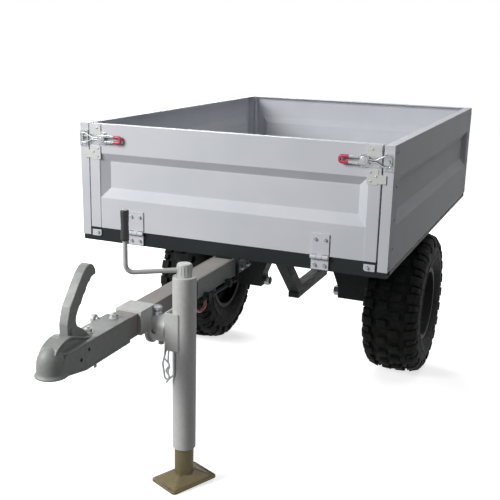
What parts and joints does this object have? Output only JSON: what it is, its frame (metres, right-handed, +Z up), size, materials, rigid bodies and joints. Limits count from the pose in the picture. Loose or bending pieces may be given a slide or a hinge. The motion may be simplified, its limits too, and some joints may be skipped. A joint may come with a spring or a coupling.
{
  "type": "tipping log trailer",
  "caption": "Small two-wheel log trailer with a tipping steel box, drop gates at both ends, ball coupler and side jack, on knobbly low-pressure tyres.",
  "frame": {"origin": "centre of the towing ball in the coupler's socket", "axes": "+Y level to the rear, +X to the side of the jack, +Z up; parked nose-down on the jack"},
  "size_m": [1.092, 2.4624, 1.0565],
  "materials": {
    "box_paint": "satin light blue-grey paint",
    "chassis_black": "satin black paint",
    "drawbar_paint": "satin warm grey paint",
    "dull_zinc": "dull grey zinc",
    "cast_grey": "cast and zinc plated",
    "bright_zinc": "bright zinc",
    "yellow_zinc": "yellow zinc",
    "red_vinyl": "dipped vinyl",
    "tyre": "matt rubber",
    "rim_black": "satin black paint",
    "black_plastic": "moulded grip"
  },
  "bodies": {
    "undercarriage": {"drawbar": "drawbar_paint", "main_beam": "chassis_black", "drawbar_side_plates": "drawbar_paint", "coupler_body": "dull_zinc", "coupler_handle": "cast_grey", "front_strut": "chassis_black", "lower_beam": "chassis_black", "rear_strut": "chassis_black", "axle_cross_beam": "chassis_black", "axle_carriers": "chassis_black", "stub_axles": "chassis_black", "axle_nuts": "bright_zinc", "jack_mount": "dull_zinc", "jack_lock_pin": "bright_zinc", "tip_pivot_barrel": "chassis_black", "tip_latch": "chassis_black", "tip_latch_pull": "red_vinyl"},
    "box": {"base_end_rails": "chassis_black", "base_side_rails": "chassis_black", "base_cross_members": "chassis_black", "floor": "box_paint", "side_panel_right": "box_paint", "side_panel_left": "box_paint", "corner_posts": "box_paint", "tip_pivot_ears": "chassis_black", "tip_pivot_pin": "bright_zinc", "tip_striker": "chassis_black", "hinge_seats": "box_paint", "latch_catches": "bright_zinc"},
    "gate_front": {"front_gate": "box_paint", "front_gate_hinges": "box_paint", "front_latch_levers": "bright_zinc", "front_latch_grips": "red_vinyl"},
    "gate_rear": {"rear_gate": "box_paint", "rear_gate_hinges": "box_paint", "rear_latch_levers": "bright_zinc", "rear_latch_grips": "red_vinyl"},
    "wheel_right": {"tyre_right": "tyre", "rim_right": "rim_black", "hub_right": "rim_black"},
    "wheel_left": {"tyre_left": "tyre", "rim_left": "rim_black", "hub_left": "rim_black"},
    "jack": {"jack_tube": "dull_zinc", "jack_saddle": "dull_zinc", "jack_clip": "bright_zinc", "jack_crank": "dull_zinc", "jack_crank_grip": "black_plastic"},
    "jack_inner": {"jack_leg": "yellow_zinc", "jack_foot": "yellow_zinc"}
  },
  "joints": [
    {"name": "wheel_right_turn", "type": "hinge", "parent": "undercarriage", "child": "wheel_right", "pos_m": [0.437, 1.75635, -0.16454], "axis": [1, 0, 0], "continuous": true},
    {"name": "wheel_left_turn", "type": "hinge", "parent": "undercarriage", "child": "wheel_left", "pos_m": [-0.437, 1.75635, -0.16454], "axis": [1, 0, 0], "continuous": true},
    {"name": "box_tip", "type": "hinge", "parent": "undercarriage", "child": "box", "pos_m": [0, 2.07862, 0.14979], "axis": [-1, 0, 0], "range_deg": [0, 45]},
    {"name": "front_gate_fold", "type": "hinge", "parent": "box", "child": "gate_front", "pos_m": [0, 0.91826, 0.13747], "axis": [1, 0, 0], "range_deg": [0, 90]},
    {"name": "rear_gate_fold", "type": "hinge", "parent": "box", "child": "gate_rear", "pos_m": [0, 2.418, 0.25061], "axis": [-1, 0, 0], "range_deg": [0, 180]},
    {"name": "jack_swing", "type": "hinge", "parent": "undercarriage", "child": "jack", "pos_m": [0.084, 0.40948, -0.00421], "axis": [-1, 0, 0], "range_deg": [0, 90]},
    {"name": "jack_wind", "type": "slide", "parent": "jack", "child": "jack_inner", "axis": [0, -0.0752, 0.9972], "range_m": [-0.16, 0.065]}
  ]
}
